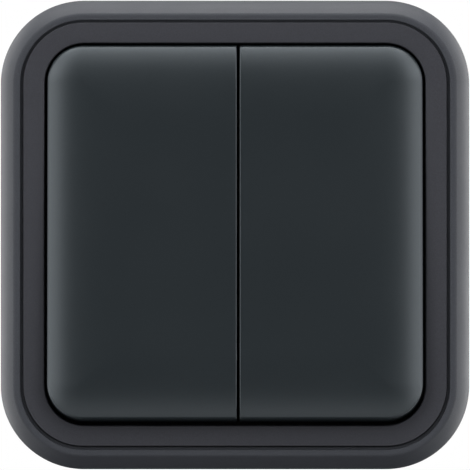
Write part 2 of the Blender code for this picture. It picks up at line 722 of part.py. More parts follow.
def make_contact_lever(side, label, fulcrum):
    """Copper plate on the fulcrum, with holes for its two rivets. Heights are from the fulcrum."""
    x = side * GANG_OFFSET
    name = "contact_lever_" + label
    lever = boxes(name, fulcrum, (around(x, LEVER_HALF_WIDTH), around(0, LEVER_HALF_LENGTH),
                                  (GAP, GAP + LEVER_THICKNESS)), material=LEVER_COPPER)
    front = 2 * GAP + LEVER_THICKNESS
    low, high = RIVET_HOLE_SPAN
    holes = rods(name + "_holes", fulcrum, *[(RIVET_HOLE, (x, y, low), (x, y, high))
                                             for y in (-CONTACT_OFFSET, CONTACT_OFFSET)])
    combine(lever, "DIFFERENCE", holes)
    clench = front + RIVET_CLENCH_HEIGHT
    profile = [(0, clench), (RIVET_CLENCH, clench), (RIVET_CLENCH, front), (RIVET_SHANK, front),
               (RIVET_SHANK, 0), (RIVET_HEAD, 0), (RIVET_HEAD, -RIVET_RIM),
               (RIVET_DOME, -MOVING_SHOULDER), (0, -MOVING_TOP)]
    for y, end in ((-CONTACT_OFFSET, "lower"), (CONTACT_OFFSET, "upper")):
        turned("moving_contact_" + label + "_" + end, fulcrum, profile, CONTACT_SILVER, (x, y))


def strip(name, parent, x, outline, material):
    """A bent strip: its (y, z) outline, extruded across the gang."""
    curve = new_curve(name, [outline])
    curve.fill_mode = "BOTH"
    curve.extrude = STRIP_HALF_WIDTH * MM
    turn = Matrix(((0, 0, 1, x * MM), (1, 0, 0, 0), (0, 1, 0, 0), (0, 0, 0, 1)))
    return mesh_part(name, curve, parent, material, turn)


def make_strips(side, label, wall):
    x = side * GANG_OFFSET
    half = STRIP_THICKNESS / 2
    foot = STRIP_FOOT + STRIP_THICKNESS
    blade = FULCRUM - GAP
    common = [(-half, blade - STRIP_EDGE), (0, blade), (half, blade - STRIP_EDGE), (half, foot),
              (STRIP_FOOT_REACH, foot), (STRIP_FOOT_REACH, STRIP_FOOT), (-half, STRIP_FOOT)]
    strip("common_strip_" + label, wall, x, common, STRIP_COPPER)
    top = STRIP_BACK + STRIP_THICKNESS
    face = top + GAP
    profile = [(0, face + FIXED_TOP), (RIVET_DOME, face + FIXED_SHOULDER), (RIVET_HEAD, face + FIXED_RIM),
               (RIVET_HEAD, face), (RIVET_SHANK, face), (RIVET_SHANK, STRIP_BACK),
               (0, STRIP_BACK)]
    tail = TERMINAL_SPACING + STRIP_FOOT_REACH
    for direction, end in ((-1, "lower"), (1, "upper")):
        leg = (TERMINAL_SPACING - half, TERMINAL_SPACING + half)
        outline = [(TRAVELLER_START, STRIP_BACK), (leg[0], STRIP_BACK), (leg[0], STRIP_FOOT),
                   (tail, STRIP_FOOT), (tail, foot), (leg[1], foot), (leg[1], top),
                   (TRAVELLER_START, top)]
        outline = [(direction * y, z) for y, z in outline]
        name = "traveller_strip_" + label + "_" + end
        y = direction * CONTACT_OFFSET
        traveller = strip(name, wall, x, outline, STRIP_COPPER)
        hole = rods(name + "_hole", wall,
                    (RIVET_HOLE, (x, y, STRIP_BACK - OVERCUT), (x, y, top + OVERCUT)))
        combine(traveller, "DIFFERENCE", hole)
        turned("fixed_contact_" + label + "_" + end, wall, profile, CONTACT_SILVER, (x, y))


def make_terminal(name, wall, x, y, across):
    """Brass block with a wire tunnel, along X when across is set and otherwise along Y."""
    block = boxes("terminal_block_" + name, wall,
                  (around(x, TERMINAL_HALF), around(y, TERMINAL_HALF),
                   (TERMINAL_BACK, TERMINAL_FRONT)), material=TERMINAL_BRASS)
    through = TERMINAL_HALF + OVERCUT
    reach_x, reach_y = (through, TUNNEL_HALF) if across else (TUNNEL_HALF, through)
    tunnel = boxes(name + "_tunnel", wall,
                   (around(x, reach_x), around(y, reach_y), (TUNNEL_BACK, TUNNEL_FRONT)))
    slot = boxes(name + "_strip_slot", wall,
                 (around(x, STRIP_HALF_WIDTH + GAP), around(y, STRIP_THICKNESS / 2 + GAP),
                  (TUNNEL_FRONT - FUSE, TERMINAL_FRONT + FUSE)))
    thread = rods(name + "_thread", wall, (THREAD_RADIUS, (x, y, TERMINAL_BACK - OVERCUT),
                                           (x, y, TUNNEL_BACK + OVERCUT)))
    combine(block, "DIFFERENCE", tunnel, slot, thread)
    slotted_screw("terminal_screw_" + name, wall, (x, y), TERMINAL_SCREW_HEAD,
                  TERMINAL_SCREW_SHANK, TERMINAL_BACK - GAP, TERMINAL_SCREW_HEIGHT,
                  TERMINAL_SCREW_TIP, SCREW_STEEL)


def make_screws(wall):
    for side, label in SIDES:
        slotted_screw("fixing_screw_" + label, wall, (side * FIXING_SPACING / 2, 0),
                      FIXING_HEAD, FIXING_SHANK, YOKE_FRONT + GAP, FIXING_HEIGHT, FIXING_TIP,
                      SCREW_STEEL)
    for index, corner in enumerate(screw_corners(), 1):
        slotted_screw(f"cover_screw_{index}", wall, corner, COVER_SCREW_HEAD, COVER_SCREW_SHANK,
                      COVER_SCREW_SEAT + GAP, COVER_SCREW_HEIGHT, COVER_SCREW_TIP, SCREW_STEEL)


# ---------------------------------------------------------------- assembly

def make_switch():
    wall = new_empty("wall")
    wall.rotation_euler.x = radians(90)
    make_wall_seal(wall)
    make_outer_frame(wall)
    make_front_ring(wall)
    make_support_frame(wall)
    make_mechanism_base(wall)
    make_mechanism_cover(wall)
    make_mechanism_seal(wall)
    make_screws(wall)
    for side, label in SIDES:
        pivot = new_empty("rocker_pivot_" + label, wall, ROCKER_PIVOT, -ROCKER_SWING / 2)
        make_rocker(side, label, pivot)
        make_cradle(side, label, pivot)
        make_plunger(side, label, pivot)
        make_spring(side, label, pivot)
        fulcrum = new_empty("lever_fulcrum_" + label, wall, FULCRUM, LEVER_SWING / 2)
        make_contact_lever(side, label, fulcrum)
        make_strips(side, label, wall)
        x = side * GANG_OFFSET
        make_terminal(label + "_lower", wall, x, -TERMINAL_SPACING, False)
        make_terminal(label + "_common", wall, x, 0, True)
        make_terminal(label + "_upper", wall, x, TERMINAL_SPACING, False)


make_switch()
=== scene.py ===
import json
from math import cos, exp, pi, radians, sin

import bmesh
import bpy
from mathutils import Matrix, Vector


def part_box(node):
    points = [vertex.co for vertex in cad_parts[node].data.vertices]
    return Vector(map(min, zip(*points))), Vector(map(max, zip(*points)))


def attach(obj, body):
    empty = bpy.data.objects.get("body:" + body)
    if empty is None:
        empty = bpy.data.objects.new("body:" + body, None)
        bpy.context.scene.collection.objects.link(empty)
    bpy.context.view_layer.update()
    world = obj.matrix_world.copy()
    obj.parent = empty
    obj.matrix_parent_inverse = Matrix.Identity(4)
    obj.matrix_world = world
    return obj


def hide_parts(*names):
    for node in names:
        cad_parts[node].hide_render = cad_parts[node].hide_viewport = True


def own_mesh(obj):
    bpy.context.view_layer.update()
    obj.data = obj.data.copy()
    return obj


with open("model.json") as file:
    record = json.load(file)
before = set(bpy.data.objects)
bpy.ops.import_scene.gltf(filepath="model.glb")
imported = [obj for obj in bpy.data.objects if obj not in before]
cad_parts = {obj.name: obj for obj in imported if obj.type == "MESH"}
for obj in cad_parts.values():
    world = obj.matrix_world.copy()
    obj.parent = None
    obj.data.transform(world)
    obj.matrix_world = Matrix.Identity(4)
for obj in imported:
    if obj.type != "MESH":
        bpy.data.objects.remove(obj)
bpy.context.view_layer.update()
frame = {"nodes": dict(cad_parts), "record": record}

# Metres, in the switch's own frame: X to the right, Z up, -Y out of the wall into the room.
# A height is a distance in front of the wall, so a point at height h has y = -h.
MM = 0.001

NODES = frame["nodes"]
SIDES = ((-1, "left"), (1, "right"))

# ---------------------------------------------------------------- places from the frame

frame_low, frame_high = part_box("outer_frame")
ring_low, ring_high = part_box("front_ring")
PLATE_HALF = frame_high.x
FRAME_FRONT = -frame_low.y
FRAME_BACK = -frame_high.y
RING_HALF = ring_high.x
RING_FRONT = -ring_low.y

PLATE_CORNER = 15.3 * MM
SIDE_WIDTH = 2.17 * MM
SIDE_CREASE = 0.75 * MM
SIDE_FOOT = 3.0 * MM
BAND_END = 3.6 * MM
RING_INNER = 7.95 * MM
RING_NARROWING = 0.13 * MM
RING_GAP = 0.08 * MM
INSERT_RISE = 0.13 * MM
GROOVE_FLOOR = 9.2 * MM
GROOVE_LEDGE = 4.1 * MM
SKIRT_BACK = 3.0 * MM
RING_SKIRT = 0.82 * MM

JOINTS = {joint["name"]: joint for joint in frame["record"]["behaviour"]["joints"]}
ROCKER_AXIS = Vector((0, JOINTS["rocker_left_tilt"]["pos_m"][1], 0))
ROCKER_REST = -radians(JOINTS["rocker_left_tilt"]["range_deg"][1]) / 2
LEVER_AXIS = Vector((0, JOINTS["contact_left_rock"]["pos_m"][1], 0))
LEVER_REST = -radians(JOINTS["contact_left_rock"]["range_deg"][0]) / 2

ROCKER_FRONT = 13.0 * MM
ROCKER_BACK = 5.2 * MM
ROCKER_HALF_HEIGHT = 34.23 * MM
ROCKER_DRAFT = 0.27 * MM
ROCKER_CORNER = 6.6 * MM
ROCKER_WALL = 1.8 * MM
JOINT_SHIFT = 0.085 * MM
CAP_TRIM = 0.045 * MM
CROWN_DROP = 1.75 * MM
CROWN_REACH = 3.5 * MM
CROWN_END = 12.5 * MM
GANG_OFFSET = 10.6 * MM


def tilted(axis, angle):
    """Turns a point by the angle about the X direction through the axis point."""
    return Matrix.Translation(axis) @ Matrix.Rotation(angle, 4, "X") @ Matrix.Translation(-axis)


ROCKER_TURN = tilted(ROCKER_AXIS, ROCKER_REST)
LEVER_TURN = tilted(LEVER_AXIS, LEVER_REST)


# ---------------------------------------------------------------- materials

NOISE_RANGE = (0.3, 0.7)
DULL_PATCH = 14 * MM
METAL_PATCH = 6 * MM
METAL_DARKEST = 0.82
METAL_SHINIER, METAL_DULLER = 0.08, 0.1
MATT_SPECULAR = 0.175


def new_material(name, colour, roughness, metallic=0.0):
    material = bpy.data.materials.new(name)
    material.use_nodes = True
    shader = material.node_tree.nodes["Principled BSDF"]
    shader.inputs["Base Color"].default_value = (*colour, 1.0)
    shader.inputs["Roughness"].default_value = roughness
    shader.inputs["Metallic"].default_value = metallic
    return material, material.node_tree, shader


def noise_node(tree, size, detail=2.0, stretch=(1, 1, 1)):
    """Noise whose features are about size across, in metres."""
    place = tree.nodes.new("ShaderNodeTexCoord")
    scale = tree.nodes.new("ShaderNodeMapping")
    scale.inputs["Scale"].default_value = [s / size for s in stretch]
    noise = tree.nodes.new("ShaderNodeTexNoise")
    noise.inputs["Scale"].default_value = 1.0
    noise.inputs["Detail"].default_value = detail
    tree.links.new(place.outputs["Object"], scale.inputs["Vector"])
    tree.links.new(scale.outputs["Vector"], noise.inputs["Vector"])
    return noise.outputs["Fac"]


def spread(tree, factor, low, high):
    """Maps the middle of a noise onto the range from low to high."""
    node = tree.nodes.new("ShaderNodeMapRange")
    node.inputs["From Min"].default_value, node.inputs["From Max"].default_value = NOISE_RANGE
    node.inputs["To Min"].default_value = low
    node.inputs["To Max"].default_value = high
    tree.links.new(factor, node.inputs["Value"])
    return node.outputs["Result"]


def tint(tree, shader, factor, dark, light):
    """Base colour between two colours, by the factor."""
    mix = tree.nodes.new("ShaderNodeMix")
    mix.data_type = "RGBA"
    mix.inputs["A"].default_value = (*dark, 1.0)
    mix.inputs["B"].default_value = (*light, 1.0)
    tree.links.new(factor, mix.inputs["Factor"])
    tree.links.new(mix.outputs["Result"], shader.inputs["Base Color"])


def relief(tree, shader, height, depth):
    bump = tree.nodes.new("ShaderNodeBump")
    bump.inputs["Distance"].default_value = depth
    bump.inputs["Strength"].default_value = 1.0
    tree.links.new(height, bump.inputs["Height"])
    tree.links.new(bump.outputs["Normal"], shader.inputs["Normal"])


def moulded_plastic(name, colour, roughness, grain=0.22 * MM, depth=0.012 * MM,
                    variation=0.12, patches=0.02, specular=0.5, tinted=(1, 1, 1)):
    """Moulded plastic with a fine spark texture, and a colour that varies a little."""
    material, tree, shader = new_material(name, colour, roughness)
    shader.inputs["Specular IOR Level"].default_value = specular
    shader.inputs["Specular Tint"].default_value = (*tinted, 1)
    fine = noise_node(tree, grain, 3.0)
    dark = [c * (1 - variation) for c in colour]
    light = [c * (1 + variation) for c in colour]
    tint(tree, shader, spread(tree, fine, 0, 1), dark, light)
    broad = noise_node(tree, DULL_PATCH, 2.0)
    tree.links.new(spread(tree, broad, roughness - patches, roughness + patches),
                   shader.inputs["Roughness"])
    relief(tree, shader, fine, depth)
    return material


def sheet_metal(name, colour, roughness, stretch=(1, 1, 1), grain=0.5 * MM, depth=0.004 * MM):
    """Metal with fine drawn or rolled lines, and dull patches."""
    material, tree, shader = new_material(name, colour, roughness, 1.0)
    lines = noise_node(tree, grain, 4.0, stretch)
    patches = noise_node(tree, METAL_PATCH, 3.0)
    dark = [c * METAL_DARKEST for c in colour]
    tint(tree, shader, spread(tree, patches, 0, 1), dark, colour)
    tree.links.new(spread(tree, lines, roughness - METAL_SHINIER, roughness + METAL_DULLER),
                   shader.inputs["Roughness"])
    relief(tree, shader, lines, depth)
    return material


SURROUND = moulded_plastic("surround_plastic", (0.042, 0.045, 0.053), 0.55,
                           specular=MATT_SPECULAR)
RING = moulded_plastic("ring_plastic", (0.036, 0.037, 0.044), 0.55, specular=MATT_SPECULAR)
ROCKER = moulded_plastic("rocker_plastic", (0.0050, 0.0082, 0.0102), 0.36, depth=0.006 * MM,
                         variation=0.2, patches=0.008, specular=0.88, tinted=(0.86, 0.94, 1.0))
RUBBER = moulded_plastic("seal_rubber", (0.014, 0.014, 0.015), 0.75, grain=0.12 * MM,
                         depth=0.02 * MM)
BODY = moulded_plastic("body_plastic", (0.22, 0.22, 0.215), 0.5, grain=0.3 * MM, variation=0.03)
COVER = moulded_plastic("cover_plastic", (0.09, 0.09, 0.10), 0.5)
CRADLE = moulded_plastic("cradle_plastic", (0.72, 0.71, 0.66), 0.32, variation=0.03)
PLUNGER = moulded_plastic("plunger_plastic", (0.50, 0.11, 0.06), 0.3, variation=0.05)
# Near-black steel: partly a guessed dark finish, partly painted shade that keeps the gaps between
# the front parts black.
YOKE = sheet_metal("yoke_steel", (0.05, 0.05, 0.055), 0.42, (1, 1, 9))
SCREW = sheet_metal("screw_steel", (0.50, 0.49, 0.45), 0.4)
SPRING = sheet_metal("spring_steel", (0.52, 0.52, 0.53), 0.25)
COPPER = sheet_metal("strip_copper", (0.72, 0.40, 0.24), 0.34, (6, 1, 1))
SILVER = sheet_metal("contact_silver", (0.82, 0.81, 0.77), 0.28)
BRASS = sheet_metal("terminal_brass", (0.60, 0.46, 0.22), 0.38, (1, 8, 1))


# ---------------------------------------------------------------- mesh helpers

PLATE_STEPS = 28
FLAT_ANGLE = radians(1)
BROKEN_ANGLE = radians(40)
BROKEN_SEGMENTS = 2


def finish_piece(name, mesh, material, slot, body, *nodes, sharp=32, flats=False):
    """Links a mesh as a shown piece that rides on a body and stands for CAD nodes.

    With flats set, the shading of broken edges doesn't spread over the flat faces.
    """
    mesh.materials.clear()
    mesh.materials.append(material)
    mesh.shade_smooth()
    mesh.set_sharp_from_angle(angle=radians(sharp))
    piece = bpy.data.objects.new(name, mesh)
    bpy.context.scene.collection.objects.link(piece)
    if flats:
        weighted = piece.modifiers.new("flat_shading", "WEIGHTED_NORMAL")
        weighted.keep_sharp = True
        weighted.weight = 50
    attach(piece, body)
    if nodes:
        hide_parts(*nodes)
    return piece


def mesh_of(name, bm, turn=None):
    bmesh.ops.recalc_face_normals(bm, faces=bm.faces)
    if turn:
        bm.transform(turn)
    mesh = bpy.data.meshes.new(name)
    bm.to_mesh(mesh)
    bm.free()
    return mesh


def outline(low, high, radius, steps):
    """Anticlockwise (x, z) outline of a rectangle with round corners."""
    points = []
    corners = ((high[0], low[1], 1, -1), (high[0], high[1], 1, 1),
               (low[0], high[1], -1, 1), (low[0], low[1], -1, -1))
    for quarter, (x, z, sx, sz) in enumerate(corners):
        for step in range(steps + 1):
            angle = pi / 2 * (quarter - 1 + step / steps)
            points.append((x - sx * radius + radius * cos(angle),
                           z - sz * radius + radius * sin(angle)))
    return points


def loft(loops, closed=False):
    """Skin over loops of equal length. A closed loft joins its last loop to its first, and
    an open one has a face at each end.
    """
    bm = bmesh.new()
    rows = [[bm.verts.new(point) for point in loop] for loop in loops]
    pairs = list(zip(rows, rows[1:]))
    if closed:
        pairs.append((rows[-1], rows[0]))
    for row, following in pairs:
        count = len(row)
        for i in range(count):
            j = (i + 1) % count
            bm.faces.new((row[i], row[j], following[j], following[i]))
    if not closed:
        bm.faces.new(rows[0])
        bm.faces.new(rows[-1])
    return bm


def arc(centre, radius, start, end, steps):
    """Points (across, height) of an arc, its angles in degrees from the across direction."""
    points = []
    for step in range(steps + 1):
        angle = radians(start + (end - start) * step / steps)
        points.append((centre[0] + radius * cos(angle), centre[1] + radius * sin(angle)))
    return points


def plate_ring(profile, narrowed_from=None, rise=0.0):
    """Runs a closed profile of (inward, height) points around the plate's outline.

    Points further in than narrowed_from lie a little closer together left to right. The rise
    lifts the whole ring.
    """
    loops = []
    for inward, height in profile:
        half = PLATE_HALF - inward
        narrow = narrowed_from is not None and inward > narrowed_from
        half_x = half - RING_NARROWING if narrow else half
        path = outline((-half_x, -half), (half_x, half), PLATE_CORNER - inward, PLATE_STEPS)
        loops.append([(x, -height, z + rise) for x, z in path])
    return loft(loops, closed=True)


def evaluated(mesh, modifiers):
    """The mesh with modifiers applied. Each modifier is a type and its settings."""
    holder = bpy.data.objects.new("holder", mesh)
    bpy.context.scene.collection.objects.link(holder)
    for kind, settings in modifiers:
        modifier = holder.modifiers.new(kind, kind)
        for key, value in settings.items():
            setattr(modifier, key, value)
    graph = bpy.context.evaluated_depsgraph_get()
    result = bpy.data.meshes.new_from_object(holder.evaluated_get(graph))
    bpy.data.objects.remove(holder)
    return result


def carved(mesh, operations):
    """Applies Booleans in turn. Each is an operation and the mesh of its tool."""
    tools = []
    modifiers = []
    for operation, tool_mesh in operations:
        tool = bpy.data.objects.new("tool", tool_mesh)
        bpy.context.scene.collection.objects.link(tool)
        tools.append(tool)
        modifiers.append(("BOOLEAN", {"operation": operation, "object": tool}))
    result = evaluated(mesh, modifiers)
    for tool in tools:
        bpy.data.objects.remove(tool)
    return result


def box_mesh(spans):
    """Closed boxes, each from a low to a high corner."""
    bm = bmesh.new()
    for low, high in spans:
        size = [b - a for a, b in zip(low, high)]
        centre = [(a + b) / 2 for a, b in zip(low, high)]
        matrix = Matrix.Translation(centre) @ Matrix.Diagonal((*size, 1))
        bmesh.ops.create_cube(bm, size=1, matrix=matrix)
    return bm


# ---------------------------------------------------------------- surround and inner ring

SIDE_STEPS = 15
CREASE_ANGLE = 148
GROOVE_EDGE = 0.12 * MM
RIM_STEP = 8.2 * MM
RIM_BACK = 6.8 * MM
RIM_INNER = 6.85 * MM
WALL_INNER = 2.2 * MM
FOOT_INNER = 1.7 * MM
FOOT_CHAMFER = 0.2 * MM
FOOT_FLAT = 1.5 * MM


def make_surround():
    """Curved side, flat band, the outer wall of the groove, and the hollow behind."""
    band = arc((SIDE_WIDTH + SIDE_CREASE, FRAME_FRONT - SIDE_CREASE), SIDE_CREASE,
               CREASE_ANGLE, 90, 9)
    reach, top = band[0]
    side = [(reach * (step / SIDE_STEPS) ** 2, SIDE_FOOT + (top - SIDE_FOOT) * step / SIDE_STEPS)
            for step in range(SIDE_STEPS)]
    lip = arc((BAND_END - GROOVE_EDGE, FRAME_FRONT - GROOVE_EDGE), GROOVE_EDGE, 90, 0, 6)
    inside = [(BAND_END, GROOVE_FLOOR), (GROOVE_LEDGE, GROOVE_FLOOR), (GROOVE_LEDGE, RIM_STEP),
              (RIM_INNER, RIM_STEP), (RIM_INNER, RIM_BACK),
              (WALL_INNER, RIM_BACK), (FOOT_INNER, FRAME_BACK + FOOT_CHAMFER),
              (FOOT_FLAT, FRAME_BACK), (FOOT_CHAMFER, FRAME_BACK),
              (0, FRAME_BACK + FOOT_CHAMFER)]
    mesh = mesh_of("surround", plate_ring([*side, *band, *lip, *inside]))
    finish_piece("surround", mesh, SURROUND, "surround_plastic", "base", "outer_frame", sharp=28,
                 flats=True)


RING_BACK = 8.5 * MM
RING_STEP_IN = 0.4 * MM
RING_CLEARANCE = 0.15 * MM
RING_FLAT_END = 5.9 * MM
RING_SLOPE_END = 6.8 * MM
RING_SLOPE_DROP = 0.03 * MM
RING_LIP = 0.3 * MM
RING_LIP_DROP = 0.1 * MM
NARROWED_FROM = 6.9 * MM
LEG_PLACE = 20.0 * MM
# Half width, lowest and highest height, and how far out the two faces lie
LEG = (2.5 * MM, 0.4 * MM, 3.6 * MM, 35.35 * MM, 35.95 * MM)
LEG_BARB = (2.1 * MM, 0.45 * MM, 1.0 * MM, 34.65 * MM, 35.65 * MM)


def at_ring_legs(half_width, low, high, near, far):
    """The same box at each of the ring's four legs."""
    spans = []
    for x in (-LEG_PLACE, LEG_PLACE):
        for side in (-1, 1):
            z = sorted((side * near, side * far))
            spans.append(((x - half_width, -high, z[0]), (x + half_width, -low, z[1])))
    return box_mesh(spans)


def make_inner_ring():
    outer = PLATE_HALF - RING_HALF + RING_GAP
    step_in = outer + RING_STEP_IN
    profile = [(step_in, RING_BACK), (step_in, GROOVE_FLOOR + RING_CLEARANCE),
               (outer, GROOVE_FLOOR + RING_CLEARANCE)]
    profile += arc((outer + GROOVE_EDGE, RING_FRONT - GROOVE_EDGE), GROOVE_EDGE, 180, 90, 5)
    profile += [(RING_FLAT_END, RING_FRONT), (RING_SLOPE_END, RING_FRONT - RING_SLOPE_DROP)]
    profile += arc((RING_INNER - RING_LIP, RING_FRONT - RING_LIP_DROP - RING_LIP), RING_LIP,
                   82, 0, 8)
    profile += [(RING_INNER, SKIRT_BACK), (RING_INNER - RING_SKIRT, SKIRT_BACK),
                (RING_INNER - RING_SKIRT, RING_BACK)]
    mesh = mesh_of("inner_ring", plate_ring(profile, narrowed_from=NARROWED_FROM,
                                            rise=INSERT_RISE))
    mesh = carved(mesh, [("UNION", mesh_of("legs", at_ring_legs(*LEG))),
                         ("UNION", mesh_of("barbs", at_ring_legs(*LEG_BARB)))])
    finish_piece("inner_ring", mesh, RING, "ring_plastic", "base", "front_ring", sharp=28,
                 flats=True)


# ---------------------------------------------------------------- rocker caps

CAP_FILLET = 0.25 * MM
CAP_EDGE = 0.22 * MM
CAP_RUN_ON = 14 * MM
CAP_STEPS = 18
SMALLEST_CORNER = 0.4 * MM
FILLET_STEPS, FILLET_ANGLE = 5, 66
CROWN_STEPS, CROWN_SPACING = 24, 1.6
HOLLOW_RUN_OUT = 1 * MM
HOLLOW_ROUNDING = 0.5 * MM
RIB_ROOT = 0.5 * MM
# The opening in the caps' inner walls: past the joint, into the cap, heights, half length
OPENING = (0.5 * MM, 2.4 * MM, 4.0 * MM, 8.7 * MM, 25.5 * MM)
# In millimetres: near and far face, height of the rib's foot, and half width
CAP_RIBS = ((3.0, 4.2, 9.9, 4.5), (9.3, 10.9, 7.0, 3.0))
# Near and far face, lowest and highest height, and half width
CAP_BARB = (10.2 * MM, 11.5 * MM, 7.1 * MM, 7.7 * MM, 2.6 * MM)


def crown(inset):
    """How far the cap's front lies back at this distance in from its edge."""
    return CROWN_DROP * exp(-inset / CROWN_REACH)


def cap_loops(inner, outer, side, half_height, rings, corner):
    """Loops for a cap that runs on past its inner edge, where it is cut straight later."""
    loops = []
    for inset, height in rings:
        flare = ROCKER_DRAFT * (ROCKER_FRONT - height) / (ROCKER_FRONT - ROCKER_BACK)
        inset = inset - flare
        x_low, x_high = sorted((inner - side * CAP_RUN_ON + side * inset,
                                outer - side * inset))
        path = outline((x_low, -half_height + inset), (x_high, half_height - inset),
                       max(corner - inset, SMALLEST_CORNER), CAP_STEPS)
        loops.append([(x, -height, z + INSERT_RISE) for x, z in path])
    return loops


def cut_straight(bm, inner, side):
    """Cuts away what lies past the inner edge, and closes the cut."""
    geometry = bm.verts[:] + bm.edges[:] + bm.faces[:]
    cut = bmesh.ops.bisect_plane(bm, geom=geometry, plane_co=(inner, 0, 0),
                                 plane_no=(-side, 0, 0), clear_outer=True)
    edges = [e for e in cut["geom_cut"] if isinstance(e, bmesh.types.BMEdge)]
    bmesh.ops.holes_fill(bm, edges=edges)
    return bm


def make_rocker(side, label):
    """Crowned, hollow cap with snap ribs and barbs inside, tilted as it rests."""
    low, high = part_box("rocker_" + label)
    inner = (high.x if side < 0 else low.x) + JOINT_SHIFT
    outer = (low.x if side < 0 else high.x) - side * (ROCKER_DRAFT + CAP_TRIM)
    rings = [(0.0, ROCKER_BACK)]
    edge_height = ROCKER_FRONT - crown(0)
    for step in range(FILLET_STEPS + 1):
        angle = radians(FILLET_ANGLE) * step / FILLET_STEPS
        rings.append((CAP_FILLET * (1 - cos(angle)),
                      edge_height - CAP_FILLET * (1 - sin(angle))))
    for step in range(1, CROWN_STEPS + 1):
        share = (step / CROWN_STEPS) ** CROWN_SPACING
        inset = CAP_FILLET + (CROWN_END - CAP_FILLET) * share
        rings.append((inset, ROCKER_FRONT - crown(inset)))
    bm = loft(cap_loops(inner, outer, side, ROCKER_HALF_HEIGHT, rings, ROCKER_CORNER))
    cut_straight(bm, inner, side)
    shell = mesh_of("rocker_shell", bm)
    shell = evaluated(shell, [("BEVEL", {"width": CAP_EDGE, "segments": 3,
                                         "limit_method": "ANGLE", "angle_limit": radians(55)})])
    wall = ROCKER_WALL
    hollow_rings = [(wall, ROCKER_BACK - HOLLOW_RUN_OUT),
                    (wall, ROCKER_FRONT - wall - HOLLOW_ROUNDING),
                    (wall + HOLLOW_ROUNDING, ROCKER_FRONT - wall)]
    hollow = loft(cap_loops(inner, outer, side, ROCKER_HALF_HEIGHT, hollow_rings, ROCKER_CORNER))
    cut_straight(hollow, inner + side * wall, side)
    past, into, foot, head, half_length = OPENING
    gap = sorted((inner - side * past, inner + side * into))
    opening = box_mesh([((gap[0], -head, -half_length), (gap[1], -foot, half_length))])
    centre = side * GANG_OFFSET
    top = -(ROCKER_FRONT - wall + RIB_ROOT)
    ribs = []
    barbs = []
    for direction in (-1, 1):
        for near, far, foot, half in CAP_RIBS:
            z = sorted((direction * near * MM, direction * far * MM))
            ribs.append(((centre - half * MM, top, z[0]),
                         (centre + half * MM, -foot * MM, z[1])))
        near, far, foot, head, half = CAP_BARB
        z = sorted((direction * near, direction * far))
        barbs.append(((centre - half, -head, z[0]), (centre + half, -foot, z[1])))
    mesh = carved(shell, [("DIFFERENCE", mesh_of("hollow", hollow)),
                          ("DIFFERENCE", mesh_of("opening", opening)),
                          ("UNION", mesh_of("ribs", box_mesh(ribs))),
                          ("UNION", mesh_of("barbs", box_mesh(barbs)))])
    mesh.transform(ROCKER_TURN)
    finish_piece("rocker_cap_" + label, mesh, ROCKER, "rocker_plastic", "rocker_" + label,
                 "rocker_" + label, sharp=30, flats=True)


# ---------------------------------------------------------------- turned and coiled pieces

def ring_at(centre, radius, height, steps, phase=0.0, depth=0.0):
    """A circle about an axis along Y. A depth makes it one slice of a screw thread."""
    points = []
    for step in range(steps):
        turn = step / steps
        flank = abs(2 * ((phase + turn) % 1.0) - 1)
        reach = radius - depth * flank
        angle = 2 * pi * turn
        points.append((centre[0] + reach * cos(angle), -height, centre[1] + reach * sin(angle)))
    return points


def turned(profile, centre, steps=40):
    """Solid of revolution through (radius, height) points, closed by a flat at each end."""
    return loft([ring_at(centre, radius, height, steps) for radius, height in profile])


def centre_of(node):
    low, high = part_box(node)
    return ((low.x + high.x) / 2, (low.z + high.z) / 2)


SCREW_STEPS = 28
SLICES_PER_TURN = 8
THREAD_DEPTH = 0.34
SCREW_NECK = 0.25 * MM
RECESS_WIDTH = 0.15
RECESS_RUN_OUT = 0.3 * MM


def make_screw(node, head_height, shank, pitch, faces_room=True):
    """Threaded screw with a pan head and a combined slot and cross recess."""
    low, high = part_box(node)
    centre = centre_of(node)
    radius = (high.x - low.x) / 2
    top, tip = (-low.y, -high.y) if faces_room else (-high.y, -low.y)
    out = 1 if faces_room else -1
    seat = top - out * head_height
    rings = []
    for step in range(7):
        angle = radians(18 + 72 * step / 6)
        rings.append((radius * sin(angle), seat + out * head_height * (0.55 + 0.45 * cos(angle))))
    rings += [(radius, seat + out * 0.1 * head_height), (radius * 0.96, seat)]
    loops = [ring_at(centre, r, h, SCREW_STEPS) for r, h in rings]
    neck = SCREW_NECK
    loops.append(ring_at(centre, shank * 0.9, seat, SCREW_STEPS))
    loops.append(ring_at(centre, shank * 0.9, seat - out * neck, SCREW_STEPS))
    length = abs(tip - seat) - 2 * neck - shank * 0.5
    count = max(2, round(length / pitch * SLICES_PER_TURN))
    for index in range(count + 1):
        run = length * index / count
        fade = min(1.0, run / pitch, (length - run) / pitch)
        height = seat - out * (neck + run)
        loops.append(ring_at(centre, shank - 0.1 * shank * (1 - fade), height, SCREW_STEPS,
                             run / pitch, THREAD_DEPTH * pitch * fade))
    loops.append(ring_at(centre, shank * 0.55, tip, SCREW_STEPS))
    screw = mesh_of("screw", loft(loops))
    width = radius * RECESS_WIDTH
    depths = sorted((-top - RECESS_RUN_OUT, -top + out * head_height * 0.5))
    slot = ((centre[0] - radius * 1.2, depths[0], centre[1] - width),
            (centre[0] + radius * 1.2, depths[1], centre[1] + width))
    if not faces_room:
        depths = sorted((-top + RECESS_RUN_OUT, -top - head_height * 0.5))
        slot = ((slot[0][0], depths[0], slot[0][2]), (slot[1][0], depths[1], slot[1][2]))
    cross = ((centre[0] - width, depths[0], centre[1] - radius * 0.6),
             (centre[0] + width, depths[1], centre[1] + radius * 0.6))
    screw = carved(screw, [("DIFFERENCE", mesh_of("slot", box_mesh([slot]))),
                           ("DIFFERENCE", mesh_of("cross", box_mesh([cross])))])
    finish_piece(node + "_threaded", screw, SCREW, "screw_steel", "base", node, sharp=40)


